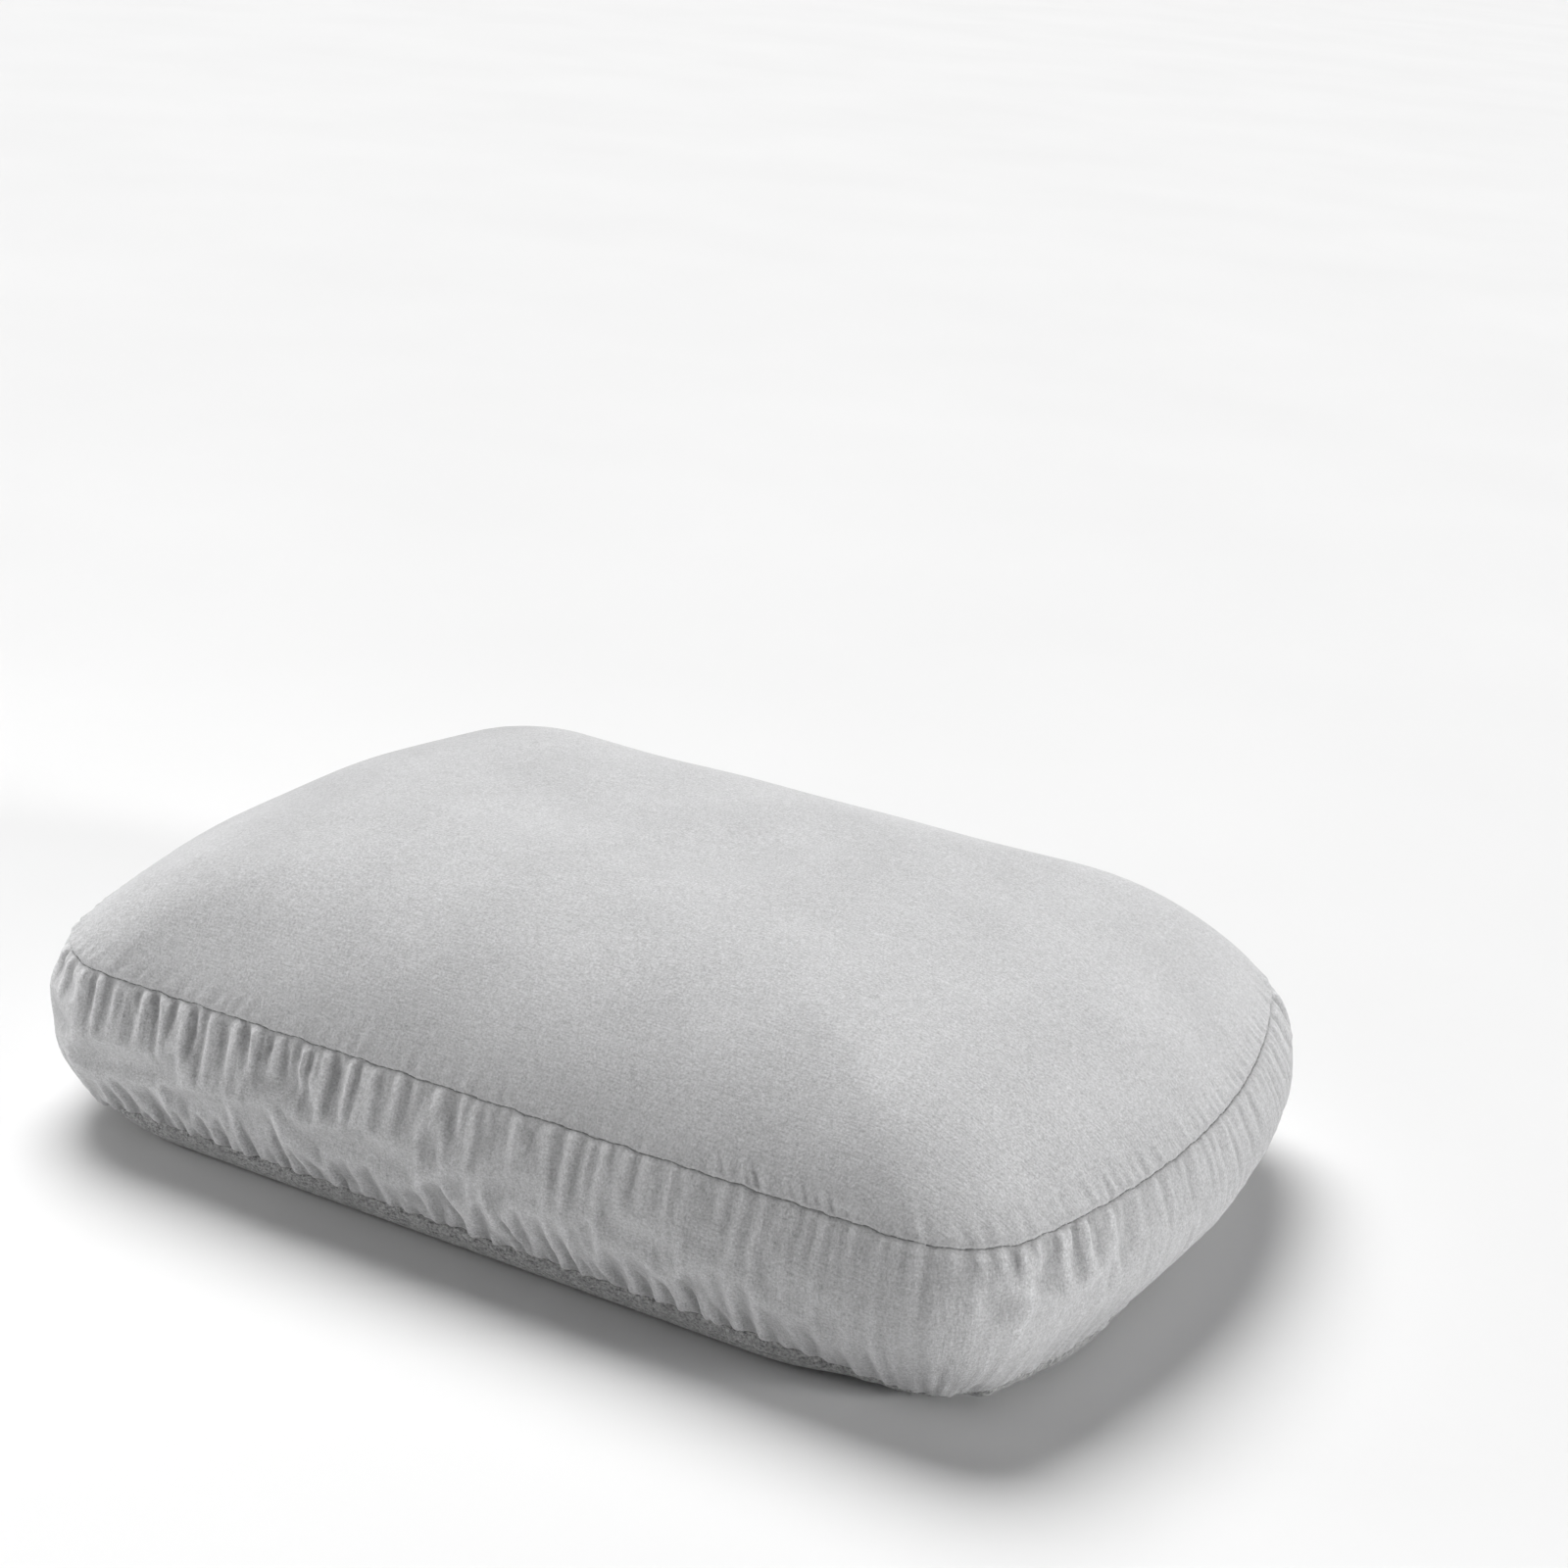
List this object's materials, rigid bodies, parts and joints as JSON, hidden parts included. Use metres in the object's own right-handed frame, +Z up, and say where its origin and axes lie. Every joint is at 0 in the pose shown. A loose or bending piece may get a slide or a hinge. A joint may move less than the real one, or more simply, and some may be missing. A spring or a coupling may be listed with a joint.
{
  "type": "camp pillow",
  "caption": "Low rectangular camp pillow: a foam block in a soft grey cover with a domed top, a puckered side wall, a darker underside and a zip along the back.",
  "frame": {"origin": "the middle of the flat underside", "axes": "+X along the pillow's length, +Y towards the side wall with the zip, +Z up"},
  "size_m": [0.449, 0.3004, 0.12],
  "materials": {
    "cover_fabric": "light grey brushed woven fabric, matte, with a faint mottle",
    "base_fabric": "dark heather grey knit with a speckled, felted face",
    "thread": "grey spun sewing thread",
    "label": "white satin ribbon, blank",
    "liner_fabric": "thin off-white knit",
    "foam": "open-cell memory foam",
    "zip_tape": "grey woven zip tape",
    "zip_coil": "grey nylon coil",
    "zip_metal": "grey plated die-cast zinc"
  },
  "bodies": {
    "cover": {"cover_top_panel": "cover_fabric", "cover_side_wall": "cover_fabric", "cover_bottom_panel": "base_fabric", "zip_strip_upper": "cover_fabric", "zip_strip_lower": "cover_fabric", "top_seam_thread": "thread", "bottom_seam_thread": "thread", "care_label": "label", "liner_top": "liner_fabric", "liner_bottom": "liner_fabric", "foam_core": "foam", "zip_tape_upper": "zip_tape", "zip_tape_lower": "zip_tape", "zip_coil_upper": "zip_coil", "zip_coil_lower": "zip_coil", "zip_bottom_stop": "zip_metal", "zip_top_stop_upper": "zip_metal", "zip_top_stop_lower": "zip_metal"},
    "slider": {"zip_slider": "zip_metal"},
    "pull": {"zip_pull": "zip_metal"}
  },
  "joints": [
    {"name": "zip_slide", "type": "slide", "parent": "cover", "child": "slider", "axis": [1, 0, 0], "range_m": [0, 0.2804]},
    {"name": "zip_pull_swing", "type": "hinge", "parent": "slider", "child": "pull", "pos_m": [-0.1402, 0.15058, 0.04504], "axis": [0, 0, 1], "range_deg": [0, 178]}
  ]
}
